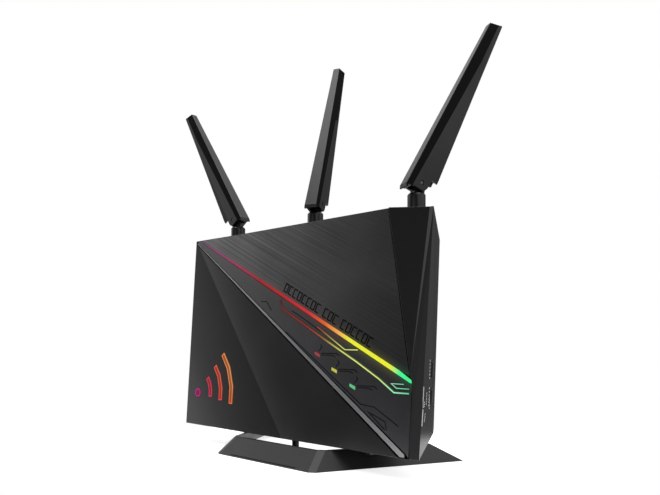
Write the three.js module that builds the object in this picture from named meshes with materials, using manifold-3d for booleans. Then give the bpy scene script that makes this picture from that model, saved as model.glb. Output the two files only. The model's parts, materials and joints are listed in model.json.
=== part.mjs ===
// A desktop wireless router: a thin faceted housing that leans back on a low
// open stand, with three hinged paddle antennas on its top.
//
// Millimetres, +Z up. The origin is on the table, directly below the middle of
// the front face's lower edge. +X is to the right as seen from the front and
// +Y runs to the back.
import * as THREE from 'three';
import { ConvexGeometry } from 'three/addons/geometries/ConvexGeometry.js';
import { mergeVertices } from 'three/addons/utils/BufferGeometryUtils.js';
import Module from 'manifold-3d';

const wasm = await Module();
wasm.setup();

// ---------------------------------------------------------------- dimensions

const GAP = 0.3;
const WALL = 2.4;
const deg = THREE.MathUtils.degToRad;

// Housing. Face coordinates are x across, v up the leaning front face, and a
// depth into the housing.
const LEAN = deg(4.43);
const FACE_Z = 16;
const FACE_H = 175.4;
const HALF_BOTTOM = 133.7;
const HALF_TOP = 136;
const BACK_Y = 50;
const SIDE_TAPER = deg(18);
const FACE_WALL = 4.2;
const SEAM_DEPTH_BOTTOM = 30.4;
const SEAM_DEPTH_TOP = 6;

// Inlaid plates on the front face.
const PLATE_T = 1.3;
const POCKET = PLATE_T + GAP;
const RIM = 0.6;

// Antennas. Each turns on a collar over its connector, and its paddle tilts on
// a pin that lies PIVOT_OFFSET from the collar's axis.
const ANTENNA_X = 104.3;
const ANTENNA_Y = 39.5;
const PIVOT_Z = 211.1;
const PIVOT_OFFSET = 1.3;
const EAR_GAP_HALF = 3.7;
const TONGUE_HALF = 3.4;
const TONGUE_R = 5.2;
const PIN_R = 1.4;
const PIN_BORE_R = 1.65;
const PIN_HALF = 5.8;
const COLLAR_R = 6.8;
const COLLAR_BORE_R = 3.6;
const COLLAR_BORE_H = 7.4;
const COLLAR_TOP_Z = 204;
const COLLAR_BOTTOM_Z = 191.4;
const COLLAR_BOSS_R = 3.2;
const COLLAR_BOSS_H = 0.8;
const ANTENNAS = [
  { side: 'left', x: -ANTENNA_X, swivel: deg(-182), tilt: deg(34.1), leadSway: 10 },
  { side: 'middle', x: 0, swivel: deg(110.2), tilt: deg(21.2), leadSway: 10 },
  { side: 'right', x: ANTENNA_X, swivel: deg(63.3), tilt: deg(27.5), leadSway: -14 },
];

// The paddle in its own frame: x towards the side it leans to, y along the
// hinge pin, z along the paddle, and the pin at the origin. The long edges of
// one side run from foot to tip; the other side mirrors them in y.
const PADDLE_EDGES = [
  { foot: [-10.6, 5.3, -7.8], tip: [-5.4, 2.9, 143] },
  { foot: [-5.9, 6.3, -6.2], tip: [3.9, 4.3, 145.8] },
  { foot: [11.2, 6, 6.1], tip: [4.3, 4.3, 145.8] },
  { foot: [12, 4.7, 6.1], tip: [5, 3.1, 145.8] },
];
const PADDLE_LOW = -10;
const PADDLE_HIGH = 150;
const PADDLE_WALL = 2;
const PADDLE_HOLLOW = [8, 137];
const PADDLE_SLOT_TOP = 9;
const PADDLE_BACK_WALL_X = -5.9;
const CHEEK_R = 6.2;
const RADIATOR = [[-1.6, -0.4, 12], [1.6, 0.4, 124]];

// Circuit board and what stands on it.
const BOARD_Y = 34;
const BOARD_T = 1.6;
const BOARD_HALF_W = 97;
const BOARD_BOTTOM_Z = 52;
const BOARD_TOP_Z = 170;
const BOARD_BACK = BOARD_Y + BOARD_T / 2;
const BOARD_FRONT = BOARD_Y - BOARD_T / 2;
const PORT_Z = 66;
const CASE_SCREW_X = 104;
const CASE_SCREW_Z = [90, 160];
const BOSS_R = 4;
const BOSS_MEET_Y = 27;
const SCREW_BORE_R = 1.75;
const SCREW_HEAD_R = 3.4;

// Stand.
const STAND_H = 13.3;
const STAND_WALL = 2.6;
const STAND_FOOT_CORNER_FRONT = [56, -22.8];
const STAND_FOOT_CORNER_BACK = [113.4, 91.5];
const STAND_RIDGE_CORNER_FRONT = [51.1, -7.7];
const STAND_RIDGE_CORNER_BACK = [91.8, 75.8];
const STAND_CORNER_CUT = 4;
const UNDERSIDE_RISE = 0.417;
const STAND_SCREW_X = 45;
const STAND_SCREW_Y = 42;
const STAND_SCREW_BORE_R = 1.9;
const STAND_CLEARANCE = 0.9;
const POST_R = 2.9;
const POST_Y = 16;
const PAD_T = 1;
const STAND_PADS = [
  { name: 'stand_pad_front', low: [-38, -21.2, 0], high: [38, -18.6, PAD_T] },
  { name: 'stand_pad_back', low: [-88, 87.9, 0], high: [88, 90.3, PAD_T] },
];

// Sockets, switches and vents of the back, by x along it.
const LAN_X = 12;
const LAN_PITCH = 14;
const LAN_PORTS = 4;
const WAN_X = -30;
const JACK_H = 15;
const JACK_DEPTH = 11;
const USB3_X = 57;
const USB2_X = 69;
const USB_HALF_W = 3.6;
const USB_HALF_H = 7.4;
const USB_WALL = 0.9;
const DC_X = -74;
const DC_HALF = 5.5;
const POWER_X = -58;
const POWER_R = 3.9;
const RESET_X = -46;
const RESET_R = 1.1;
const PORT_BACK_Y = BACK_Y + 0.2;
const SWITCH_Y = 43;
const SWITCH_FLANGE_T = 1.6;
const VENT_ROWS = [112, 146];
const VENT_REACH = 80;
const VENT_PITCH = 16;
const VENT_HALF_LENGTH = 12;
const VENT_HALF_WIDTH = 1.7;
const VENT_SKEW = 6;
const TOP_VENT_CENTRES = [-52, 52];
const TOP_VENT_REACH = 30;
const TOP_VENT_PITCH = 12;

// ----------------------------------------------------------------- materials

const plastic = (color, roughness, metalness = 0) =>
  new THREE.MeshStandardMaterial({ color, roughness, metalness });
const glowing = (color) =>
  new THREE.MeshStandardMaterial({ color, roughness: 0.3, emissive: color, emissiveIntensity: 0.8 });

const materials = {
  satinBlack: plastic(0x18181a, 0.38),
  mattBlack: plastic(0x141415, 0.6),
  brushed: plastic(0x232325, 0.35, 0.5),
  slate: plastic(0x3e3e42, 0.55),
  silver: plastic(0x9a9a9e, 0.3, 0.8),
  board: plastic(0x12352a, 0.6),
  steel: plastic(0xa8a8ac, 0.35, 0.9),
  aluminium: plastic(0xb5b7ba, 0.4, 0.9),
  gold: plastic(0xb08d3c, 0.3, 0.9),
  rubber: plastic(0x101010, 0.9),
  lightRed: glowing(0xff2a4a),
  lightOrange: glowing(0xff8a20),
  lightYellow: glowing(0xe8e020),
  lightGreen: glowing(0x20e070),
  lightPink: glowing(0xe02a90),
};

// --------------------------------------------------- solids, joined and cut

function weld(geometry) {
  const bare = geometry.clone();
  bare.deleteAttribute('normal');
  bare.deleteAttribute('uv');
  return mergeVertices(bare, 1e-4);
}

function solid(geometry) {
  const welded = weld(geometry);
  return new wasm.Manifold(new wasm.Mesh({
    numProp: 3,
    vertProperties: new Float32Array(welded.attributes.position.array),
    triVerts: new Uint32Array(welded.index.array),
  }));
}

function surface(manifold) {
  const mesh = manifold.getMesh();
  const geometry = new THREE.BufferGeometry();
  geometry.setAttribute('position', new THREE.BufferAttribute(mesh.vertProperties, 3));
  geometry.setIndex(new THREE.BufferAttribute(mesh.triVerts, 1));
  return geometry;
}

const root = new THREE.Group();

function place(name, shape, material, parent = root) {
  const geometry = shape.isBufferGeometry ? shape : surface(shape);
  const mesh = new THREE.Mesh(geometry, material);
  mesh.name = name;
  parent.add(mesh);
  return mesh;
}

function block(low, high) {
  const size = high.map((value, axis) => value - low[axis]);
  const geometry = new THREE.BoxGeometry(...size);
  return geometry.translate(...low.map((value, axis) => value + size[axis] / 2));
}

// A cylinder whose axis runs along +Y from y0 to y1.
function rodY(radius, x, z, y0, y1, sides = 20) {
  const geometry = new THREE.CylinderGeometry(radius, radius, y1 - y0, sides);
  return geometry.translate(x, (y0 + y1) / 2, z);
}

// A cylinder whose axis runs along +Z from z0 to z1.
function rodZ(radius, x, y, z0, z1, sides = 20) {
  const geometry = new THREE.CylinderGeometry(radius, radius, z1 - z0, sides);
  return geometry.rotateX(Math.PI / 2).translate(x, y, (z0 + z1) / 2);
}

// A body of revolution about a vertical axis, from [radius, z] pairs.
function turned(profile, sides = 24) {
  const points = profile.map(([radius, z]) => new THREE.Vector2(radius, z));
  return new THREE.LatheGeometry(points, sides).rotateX(Math.PI / 2);
}

function outline(points) {
  return new THREE.Shape(points.map(([x, y]) => new THREE.Vector2(x, y)));
}

function hull(points) {
  return new ConvexGeometry(points.map((point) => new THREE.Vector3(...point)));
}

// ------------------------------------------------------------- front face

const faceFrame = new THREE.Matrix4()
  .makeRotationX(-LEAN)
  .setPosition(0, 0, FACE_Z);

function onFace(x, v, depth = 0) {
  return new THREE.Vector3(x, depth, v).applyMatrix4(faceFrame).toArray();
}

// A prism on the front face, from a shape in x and v, between two depths.
function facePrism(shape, depth0, depth1) {
  const geometry = new THREE.ExtrudeGeometry(shape, { depth: depth1 - depth0, bevelEnabled: false });
  return geometry.rotateX(Math.PI / 2).translate(0, depth1, 0);
}

const faceGroup = new THREE.Group();
faceGroup.applyMatrix4(faceFrame);
root.add(faceGroup);

// The lines that divide the face.
const LIGHT_SLOPE = -0.4833;
const LIGHT_V0 = 112.7;
const LIGHT_START_X = -126;
const LIGHT_KNEE_X = 113;
const LIGHT_END_X = 124.4;
const TRIM_SLOPE = -0.6745;
const TRIM_START = [-133.6, 172.75];
const TRIM_GAP = 1.1;
const FACE_RIGHT = 125.3;
const CREASE_TOP_X = 98.8;
const APEX = [123.9, 57.4];
const VALLEY_TOP = [131, 173.6, 4];
const SIDE_TOP = [134.9, 171.8, 2.8];
const RECESS_REACH = 1.085;
const RECESS_FRONT = -10;

const lightLine = (x) => LIGHT_V0 + LIGHT_SLOPE * x;
const lightHalf = (x) => 0.8 + 0.0033 * (x - LIGHT_START_X);
const trimLine = (x) => TRIM_START[1] + TRIM_SLOPE * (x - TRIM_START[0]);
const trimHalf = (x) => 0.3 + 0.0075 * (x - TRIM_START[0]);
const trimFootX = TRIM_START[0] + (RIM - TRIM_START[1]) / TRIM_SLOPE;

// Outer corners of the housing, right half. The left half mirrors the back.
function sideX(v, depth) {
  const half = HALF_BOTTOM + (HALF_TOP - HALF_BOTTOM) * (v / FACE_H);
  return half - Math.tan(SIDE_TAPER) * depth;
}

const SIDE_BACK_LOW = { v: 16.3, depth: 31.9 };
const SIDE_BACK_HIGH = { v: 152.6, depth: 21.3 };

function housingCorners(inset) {
  const front = inset > 0 ? FACE_WALL : 0;
  const corners = [
    onFace(-HALF_TOP + inset, FACE_H - inset, front),
    onFace(-HALF_BOTTOM - 2.1 + inset, inset, front + 1.5),
    onFace(0.3, inset, front),
    onFace(125.8 - inset, inset, front),
    onFace(132.5 - inset, inset, front + 2),
    onFace(SIDE_TOP[0] - inset, SIDE_TOP[1] - inset, front + SIDE_TOP[2]),
    onFace(CREASE_TOP_X, FACE_H - inset, front),
    onFace(APEX[0] - inset, APEX[1], front),
  ];
  for (const side of [-1, 1]) {
    for (const { v, depth } of [SIDE_BACK_LOW, SIDE_BACK_HIGH]) {
      const lift = v < FACE_H / 2 ? inset : -inset;
      corners.push(onFace(side * (sideX(v, depth) - inset), v + lift, depth - inset * 0.5));
    }
    corners.push([side * (108 - inset), BACK_Y - inset, 37 + inset * 1.6]);
    corners.push([side * (112 - inset), BACK_Y - inset, 189.6 - inset]);
  }
  return corners;
}

// The narrow facet in the top right corner of the face is set back: it falls to
// a valley that runs from the apex to the top, and the side rises from there.
function cornerRecess() {
  const apex = new THREE.Vector3(...APEX, 0);
  const corners = [];
  for (const corner of [[CREASE_TOP_X, FACE_H, 0], VALLEY_TOP, SIDE_TOP]) {
    const far = new THREE.Vector3(...corner).sub(apex).multiplyScalar(RECESS_REACH).add(apex);
    corners.push(onFace(far.x, far.y, far.z), onFace(far.x, far.y, RECESS_FRONT));
  }
  return solid(hull([onFace(...APEX, 0), ...corners]));
}

const outerHousing = solid(hull(housingCorners(0))).subtract(cornerRecess());
const innerHousing = solid(hull(housingCorners(WALL)));

// Everything in front of the seam, which slants from the top of the face back
// to the foot of the side wall, moved back by a clearance.
function frontSpace(clearance) {
  const corners = [];
  for (const x of [-200, 200]) {
    corners.push(onFace(x, -40, -40), onFace(x, 220, -40));
    for (const v of [-40, 220]) {
      const seam = SEAM_DEPTH_BOTTOM + (SEAM_DEPTH_TOP - SEAM_DEPTH_BOTTOM) * (v / FACE_H);
      corners.push(onFace(x, v, seam + clearance));
    }
  }
  return solid(hull(corners));
}

// ------------------------------------------------------------ status lenses

const LED_PLACES = [[35.1, 68.7], [53.8, 57.1], [72.6, 45.8]];

function ledOutline([x, v], grow = 0) {
  const wide = 2.6 + grow;
  const high = 1 + grow;
  const skew = 1.1;
  return [
    [x - wide, v + high + skew], [x - wide, v - high + skew],
    [x + wide, v - high - skew], [x + wide, v + high - skew],
  ];
}

// --------------------------------------------------------------- light lines

// A strip of even width along an open line of points, longer by ends each way.
function strip(line, half, ends = 0) {
  const points = line.map(([x, y]) => new THREE.Vector2(x, y));
  const last = points.length - 1;
  const lead = points[0].clone().sub(points[1]).setLength(ends);
  const tail = points[last].clone().sub(points[last - 1]).setLength(ends);
  points[0].add(lead);
  points[last].add(tail);
  const left = [];
  const right = [];
  points.forEach((point, index) => {
    const into = point.clone().sub(points[Math.max(index - 1, 0)]);
    const out = points[Math.min(index + 1, last)].clone().sub(point);
    if (index === 0) into.copy(out);
    if (index === last) out.copy(into);
    const along = into.normalize().add(out.normalize()).normalize();
    const miter = half / Math.max(along.dot(out), 0.5);
    left.push([point.x - along.y * miter, point.y + along.x * miter]);
    right.unshift([point.x + along.y * miter, point.y - along.x * miter]);
  });
  return left.concat(right);
}

const LIGHT_BAR = [
  [LIGHT_START_X, lightLine(LIGHT_START_X) + lightHalf(LIGHT_START_X)],
  [LIGHT_START_X, lightLine(LIGHT_START_X) - lightHalf(LIGHT_START_X)],
  [LIGHT_END_X, lightLine(LIGHT_END_X) - lightHalf(LIGHT_END_X)],
  [LIGHT_END_X, lightLine(LIGHT_END_X) + lightHalf(LIGHT_END_X) - 1.4],
  [LIGHT_KNEE_X, lightLine(LIGHT_KNEE_X) + lightHalf(LIGHT_KNEE_X)],
];
const LOWER_BRANCH = [
  [-10, 112.6], [-7.4, 105.8], [41.1, 81], [76, 63.9], [97.2, 52.6], [110.8, 43.8], [123.6, 43.8],
];
const UPPER_BRANCH = [[33.4, 90.4], [63.7, 72.8], [76.6, 72.8]];
const TAIL = [[119, 49.9], [108.2, 49.9], [112.8, 46.9], [123.6, 46.9]];
const BRANCH_HALF = 0.8;
const THIN_HALF = 0.5;

// ---------------------------------------------------------------- emblem

// Three angular waves over a dot, the common sign for a radio signal, set at a
// slant on the lower left facet.
const EMBLEM_CENTRE = [-119, 30];
const EMBLEM_TURN = deg(19);
const EMBLEM_SPREAD = deg(27);
const EMBLEM_HALF_STROKE = 2.3;
const EMBLEM_DOT_R = 4.4;
const EMBLEM_WAVES = [20, 35.5, 51];
const EMBLEM_PROUD = 0.2;

function emblemPoint(radius, turn) {
  const [x, v] = EMBLEM_CENTRE;
  return [x + radius * Math.cos(EMBLEM_TURN + turn), v + radius * Math.sin(EMBLEM_TURN + turn)];
}

function emblemWave(radius, half, ends = 0) {
  const points = [-1, -0.36, 0.36, 1].map((part) => emblemPoint(radius, part * EMBLEM_SPREAD));
  return strip(points, half, ends);
}

function emblemDot(radius) {
  return [0, 60, 120, 180, 240, 300].map((turn) => emblemPoint(radius, deg(turn)));
}

// The lower left facet falls back a little towards its outer corner.
const facetDrop = (x, v) => {
  const creaseX = -HALF_TOP + (FACE_H - v) * (HALF_TOP / FACE_H);
  return Math.max(0, creaseX - x) * 0.0112;
};

// ------------------------------------------------------------- front cover

const pocketOutline = [
  [TRIM_START[0] - 1.2, FACE_H + 5],
  [TRIM_START[0] - 1.2, trimLine(TRIM_START[0] - 1.2) - trimHalf(TRIM_START[0]) - TRIM_GAP],
  [trimFootX + (trimHalf(trimFootX) + TRIM_GAP) / TRIM_SLOPE, RIM - GAP],
  [FACE_RIGHT + GAP, RIM - GAP],
  [FACE_RIGHT + GAP, APEX[1] - 8],
  [APEX[0] - 0.5, APEX[1]],
  [CREASE_TOP_X - 0.5, FACE_H],
  [CREASE_TOP_X - 1.5, FACE_H + 5],
];

const emblemPieces = [
  ...EMBLEM_WAVES.map((radius, index) => ({
    name: `emblem_wave_${index + 1}`,
    inlay: emblemWave(radius, EMBLEM_HALF_STROKE),
    hole: emblemWave(radius, EMBLEM_HALF_STROKE + GAP, GAP),
    colour: index < 2 ? materials.lightRed : materials.lightOrange,
  })),
  {
    name: 'emblem_dot',
    inlay: emblemDot(EMBLEM_DOT_R),
    hole: emblemDot(EMBLEM_DOT_R + GAP * 1.2),
    colour: materials.lightPink,
  },
];

const SIDE_BUTTONS = [
  { name: 'wps_button', v: 62, depth: 21 },
  { name: 'light_button', v: 43, depth: 22.5 },
];
const SIDE_BUTTON_HALF_V = 5.2;
const SIDE_BUTTON_HALF_D = 1.7;
const SIDE_BUTTON_GAP = 0.35;

// Axes at a point of the right side wall: out of the wall, back, and up.
function sideFrame(v, depth) {
  const at = new THREE.Vector3(...onFace(sideX(v, depth), v, depth));
  const up = new THREE.Vector3(...onFace(sideX(v + 1, depth), v + 1, depth)).sub(at).normalize();
  const back = new THREE.Vector3(...onFace(sideX(v, depth + 1), v, depth + 1)).sub(at);
  const out = new THREE.Vector3().crossVectors(back, up).normalize();
  back.crossVectors(up, out);
  return new THREE.Matrix4().makeBasis(out, back, up).setPosition(at);
}

function sideButtonOutline(grow) {
  const d = SIDE_BUTTON_HALF_D + grow;
  const h = SIDE_BUTTON_HALF_V + grow;
  const skew = 1.2;
  return outline([[-d, -h - skew], [d, -h + skew], [d, h + skew], [-d, h - skew]]);
}

// A prism that stands on the side wall between two heights above it.
function sidePrism(shape, low, high) {
  const geometry = new THREE.ExtrudeGeometry(shape, { depth: high - low, bevelEnabled: false });
  const turn = new THREE.Matrix4().makeBasis(
    new THREE.Vector3(0, 1, 0), new THREE.Vector3(0, 0, 1), new THREE.Vector3(1, 0, 0));
  return geometry.translate(0, 0, low).applyMatrix4(turn);
}

function cutSideButtons(cover) {
  let cut = cover;
  for (const { v, depth } of SIDE_BUTTONS) {
    const hole = sidePrism(sideButtonOutline(SIDE_BUTTON_GAP), -12, 4).applyMatrix4(sideFrame(v, depth));
    cut = cut.subtract(solid(hole));
  }
  return cut;
}

function frontCover() {
  let cover = outerHousing.intersect(frontSpace(0)).subtract(innerHousing);
  const pocket = facePrism(outline(pocketOutline), -5, POCKET).applyMatrix4(faceFrame);
  cover = cover.subtract(solid(pocket));
  for (const { hole } of emblemPieces) {
    cover = cover.subtract(solid(facePrism(outline(hole), -5, 12).applyMatrix4(faceFrame)));
  }
  // Slots that let light through to the bar and the status lenses.
  const lightSlot = strip([[-118, lightLine(-118)], [118, lightLine(118)]], 0.7);
  cover = cover.subtract(solid(facePrism(outline(lightSlot), -5, 12).applyMatrix4(faceFrame)));
  for (const at of LED_PLACES) {
    const window = facePrism(outline(ledOutline(at, -GAP)), -5, 12).applyMatrix4(faceFrame);
    cover = cover.subtract(solid(window));
  }
  // Screw bosses that meet those of the rear cover.
  for (const x of [-CASE_SCREW_X, CASE_SCREW_X]) {
    for (const z of CASE_SCREW_Z) {
      const wallY = onFace(x, z - FACE_Z, FACE_WALL)[1];
      cover = cover.add(solid(rodY(BOSS_R, x, z, wallY - 1, BOSS_MEET_Y - GAP, 16)));
      cover = cover.subtract(solid(rodY(SCREW_BORE_R, x, z, wallY + 1, BOSS_MEET_Y + 3, 12)));
    }
  }
  return cutSideButtons(cover);
}

place('front_cover', frontCover(), materials.satinBlack);

const brushedOutline = [
  [LIGHT_START_X + 0.4, FACE_H - RIM],
  [LIGHT_START_X + 0.4, lightLine(LIGHT_START_X + 0.4) + lightHalf(LIGHT_START_X) + GAP],
  [LIGHT_KNEE_X, lightLine(LIGHT_KNEE_X) + lightHalf(LIGHT_KNEE_X) + GAP],
  [APEX[0] - 1, APEX[1] - 1.2],
  [CREASE_TOP_X - 0.9, FACE_H - RIM],
];
place('brushed_panel', facePrism(outline(brushedOutline), 0, PLATE_T), materials.brushed, faceGroup);

function circuitBand() {
  const shape = outline([
    [TRIM_START[0] + 0.9, FACE_H - RIM],
    [TRIM_START[0] + 0.9, trimLine(TRIM_START[0] + 0.9) + trimHalf(TRIM_START[0]) * 1.3 + GAP],
    [trimFootX + 0.9, RIM + trimHalf(trimFootX) * 1.2 + GAP],
    [FACE_RIGHT, RIM],
    [FACE_RIGHT, lightLine(FACE_RIGHT) - lightHalf(FACE_RIGHT) - GAP * 1.4],
    [LIGHT_START_X, lightLine(LIGHT_START_X) - lightHalf(LIGHT_START_X) - GAP * 1.2],
    [LIGHT_START_X, FACE_H - RIM],
  ]);
  const holes = [
    strip(LOWER_BRANCH, BRANCH_HALF + GAP, GAP), strip(UPPER_BRANCH, THIN_HALF + GAP, GAP),
    strip(TAIL, THIN_HALF + GAP, GAP), ...LED_PLACES.map((at) => ledOutline(at, GAP)),
  ];
  return holes.reduce(
    (band, hole) => band.subtract(solid(facePrism(outline(hole), -5, 5))),
    solid(facePrism(shape, 0, PLATE_T)));
}
place('circuit_band', circuitBand(), materials.slate, faceGroup);

const trimOutline = [
  [TRIM_START[0], TRIM_START[1] + trimHalf(TRIM_START[0])],
  [TRIM_START[0], TRIM_START[1] - trimHalf(TRIM_START[0])],
  [trimFootX + trimHalf(trimFootX) / TRIM_SLOPE, RIM + 0.1],
  [trimFootX + 0.4, RIM + 0.1],
  [trimFootX + 0.2, RIM + trimHalf(trimFootX)],
];
place('trim_strip', facePrism(outline(trimOutline), -0.3, PLATE_T), materials.silver, faceGroup);

const LIGHT_PROUD = -0.15;
const lightPieces = [
  ['light_bar_main', LIGHT_BAR, materials.lightRed],
  ['light_branch_lower', strip(LOWER_BRANCH, BRANCH_HALF), materials.lightOrange],
  ['light_branch_upper', strip(UPPER_BRANCH, THIN_HALF), materials.lightYellow],
  ['light_tail', strip(TAIL, THIN_HALF), materials.lightGreen],
];
for (const [name, points, material] of lightPieces) {
  place(name, facePrism(outline(points), LIGHT_PROUD, PLATE_T), material, faceGroup);
}
const ledColours = [materials.lightRed, materials.lightYellow, materials.lightGreen];
LED_PLACES.forEach((at, index) => {
  const lens = facePrism(outline(ledOutline(at)), LIGHT_PROUD, PLATE_T);
  place(`led_lens_${index + 1}`, lens, ledColours[index], faceGroup);
});
for (const { name, inlay, colour } of emblemPieces) {
  const drops = inlay.map(([x, v]) => facetDrop(x, v));
  const front = Math.min(...drops) - EMBLEM_PROUD;
  place(name, facePrism(outline(inlay), front, FACE_WALL + 0.6), colour, faceGroup);
}

// -------------------------------------------------------------- rear cover

const LAN_HALF_W = LAN_PITCH * LAN_PORTS / 2 + 1;
const WAN_HALF_W = 8;
const USB_PITCH = USB2_X - USB3_X;
const USB_PAIR_X = (USB3_X + USB2_X) / 2;
const portBlocks = [
  { x: LAN_X, halfW: LAN_HALF_W, halfH: JACK_H / 2 },
  { x: WAN_X, halfW: WAN_HALF_W, halfH: JACK_H / 2 },
  { x: USB_PAIR_X, halfW: USB_PITCH / 2 + USB_HALF_W, halfH: USB_HALF_H },
  { x: DC_X, halfW: DC_HALF, halfH: DC_HALF },
];

// Depths that a cut through the back wall runs between.
const CUT_FROM_Y = BACK_Y - 8;
const CUT_TO_Y = BACK_Y + 4;

function ventSlot(x, z) {
  const [low, high] = [z - VENT_HALF_LENGTH, z + VENT_HALF_LENGTH];
  const shape = outline([
    [x - VENT_SKEW - VENT_HALF_WIDTH, low], [x - VENT_SKEW + VENT_HALF_WIDTH, low],
    [x + VENT_SKEW + VENT_HALF_WIDTH, high], [x + VENT_SKEW - VENT_HALF_WIDTH, high],
  ]);
  const geometry = new THREE.ExtrudeGeometry(shape, { depth: CUT_TO_Y - CUT_FROM_Y, bevelEnabled: false });
  return geometry.rotateX(Math.PI / 2).translate(0, CUT_TO_Y, 0);
}

// Everything taken out of the rear cover behind its sockets, switches and vents.
function rearCuts() {
  const cuts = portBlocks.map(({ x, halfW, halfH }) => block(
    [x - halfW - GAP, CUT_FROM_Y, PORT_Z - halfH - GAP],
    [x + halfW + GAP, CUT_TO_Y, PORT_Z + halfH + GAP]));
  cuts.push(rodY(POWER_R + 0.5, POWER_X, PORT_Z, CUT_FROM_Y, CUT_TO_Y));
  cuts.push(rodY(RESET_R + 0.4, RESET_X, PORT_Z, CUT_FROM_Y, CUT_TO_Y, 12));
  for (const z of VENT_ROWS) {
    for (let x = -VENT_REACH; x <= VENT_REACH; x += VENT_PITCH) cuts.push(ventSlot(x, z));
  }
  for (const centre of TOP_VENT_CENTRES) {
    for (let x = centre - TOP_VENT_REACH; x <= centre + TOP_VENT_REACH; x += TOP_VENT_PITCH) {
      cuts.push(block([x - 1.5, 27, 180], [x + 1.5, 43, 195]));
    }
  }
  for (const { x } of ANTENNAS) {
    cuts.push(rodZ(COLLAR_BORE_R, x, ANTENNA_Y, 180, 200, 20));
  }
  for (const x of [-STAND_SCREW_X, STAND_SCREW_X]) {
    const wallZ = FACE_Z + UNDERSIDE_RISE * STAND_SCREW_Y;
    cuts.push(rodZ(STAND_SCREW_BORE_R, x, STAND_SCREW_Y, wallZ - 6, wallZ + 6, 12));
  }
  return cuts;
}

function rearCover() {
  let cover = outerHousing.subtract(frontSpace(GAP)).subtract(innerHousing);
  for (const x of [-CASE_SCREW_X, CASE_SCREW_X]) {
    for (const z of CASE_SCREW_Z) {
      const boss = solid(rodY(BOSS_R, x, z, BOSS_MEET_Y, BACK_Y - WALL + 0.5, 16));
      cover = cover.add(boss.intersect(outerHousing));
      cover = cover.subtract(solid(rodY(SCREW_BORE_R, x, z, 20, BACK_Y + 1, 12)));
      cover = cover.subtract(solid(rodY(SCREW_HEAD_R, x, z, BACK_Y - 2.9, BACK_Y + 1, 16)));
    }
  }
  return cutSideButtons(rearCuts().reduce((rest, cut) => rest.subtract(solid(cut)), cover));
}
place('rear_cover', rearCover(), materials.mattBlack);

// ---------------------------------------------------------------- buttons

for (const { name, v, depth } of SIDE_BUTTONS) {
  const group = new THREE.Group();
  group.applyMatrix4(sideFrame(v, depth));
  root.add(group);
  const cap = solid(sidePrism(sideButtonOutline(0), -4, 0.5));
  const flange = solid(sidePrism(sideButtonOutline(0.9), -5.4, -3.8));
  place(name, cap.add(flange), materials.satinBlack, group);
}

function powerButton() {
  const cap = solid(rodY(POWER_R, POWER_X, PORT_Z, SWITCH_Y, BACK_Y + 1.8));
  const flange = solid(rodY(POWER_R + 1.7, POWER_X, PORT_Z, SWITCH_Y, SWITCH_Y + SWITCH_FLANGE_T));
  return cap.add(flange);
}
place('power_button', powerButton(), materials.satinBlack);

function resetButton() {
  const stem = solid(rodY(RESET_R, RESET_X, PORT_Z, SWITCH_Y, BACK_Y - 1, 12));
  const flange = solid(rodY(RESET_R + 1.5, RESET_X, PORT_Z, SWITCH_Y, SWITCH_Y + SWITCH_FLANGE_T, 12));
  return stem.add(flange);
}
place('reset_button', resetButton(), materials.lightRed);

// ------------------------------------------------------------------- ports

// An eight-way jack's mouth: a wide cavity with a stepped latch channel.
function jackMouth(x) {
  const shape = outline([
    [x - 5.9, PORT_Z - 3.2], [x + 5.9, PORT_Z - 3.2],
    [x + 5.9, PORT_Z + 3.6], [x + 3, PORT_Z + 3.6],
    [x + 3, PORT_Z + 5.6], [x - 3, PORT_Z + 5.6],
    [x - 3, PORT_Z + 3.6], [x - 5.9, PORT_Z + 3.6],
  ]);
  const geometry = new THREE.ExtrudeGeometry(shape, { depth: JACK_DEPTH + 1, bevelEnabled: false });
  return geometry.rotateX(Math.PI / 2).translate(0, PORT_BACK_Y + 1, 0);
}

function jackBlock(x, halfW, mouths) {
  let body = solid(block(
    [x - halfW, BOARD_BACK + GAP, PORT_Z - JACK_H / 2],
    [x + halfW, PORT_BACK_Y, PORT_Z + JACK_H / 2]));
  for (const mouth of mouths) body = body.subtract(solid(jackMouth(mouth)));
  return body;
}

const lanMouths = Array.from({ length: LAN_PORTS }, (_, index) => LAN_X + (index - 1.5) * LAN_PITCH);
place('lan_jack_block', jackBlock(LAN_X, LAN_HALF_W, lanMouths), materials.mattBlack);
place('wan_jack', jackBlock(WAN_X, WAN_HALF_W, [WAN_X]), materials.mattBlack);

function usbPort(x) {
  const shell = block(
    [x - USB_HALF_W, BOARD_BACK + GAP, PORT_Z - USB_HALF_H],
    [x + USB_HALF_W, PORT_BACK_Y, PORT_Z + USB_HALF_H]);
  const [halfW, halfH] = [USB_HALF_W - USB_WALL, USB_HALF_H - USB_WALL];
  const cavity = block(
    [x - halfW, BOARD_BACK + 4, PORT_Z - halfH], [x + halfW, PORT_BACK_Y + 1, PORT_Z + halfH]);
  return solid(shell).subtract(solid(cavity));
}
place('usb3_port', usbPort(USB3_X), materials.steel);
place('usb2_port', usbPort(USB2_X), materials.steel);

// A rib on the main board fills the rear cover's cut between the two USB shells.
const dividerHalfW = USB_PITCH / 2 - USB_HALF_W - GAP;
place('usb_divider', block(
  [USB_PAIR_X - dividerHalfW, BOARD_BACK + GAP, PORT_Z - USB_HALF_H],
  [USB_PAIR_X + dividerHalfW, BACK_Y, PORT_Z + USB_HALF_H]), materials.mattBlack);

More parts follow.
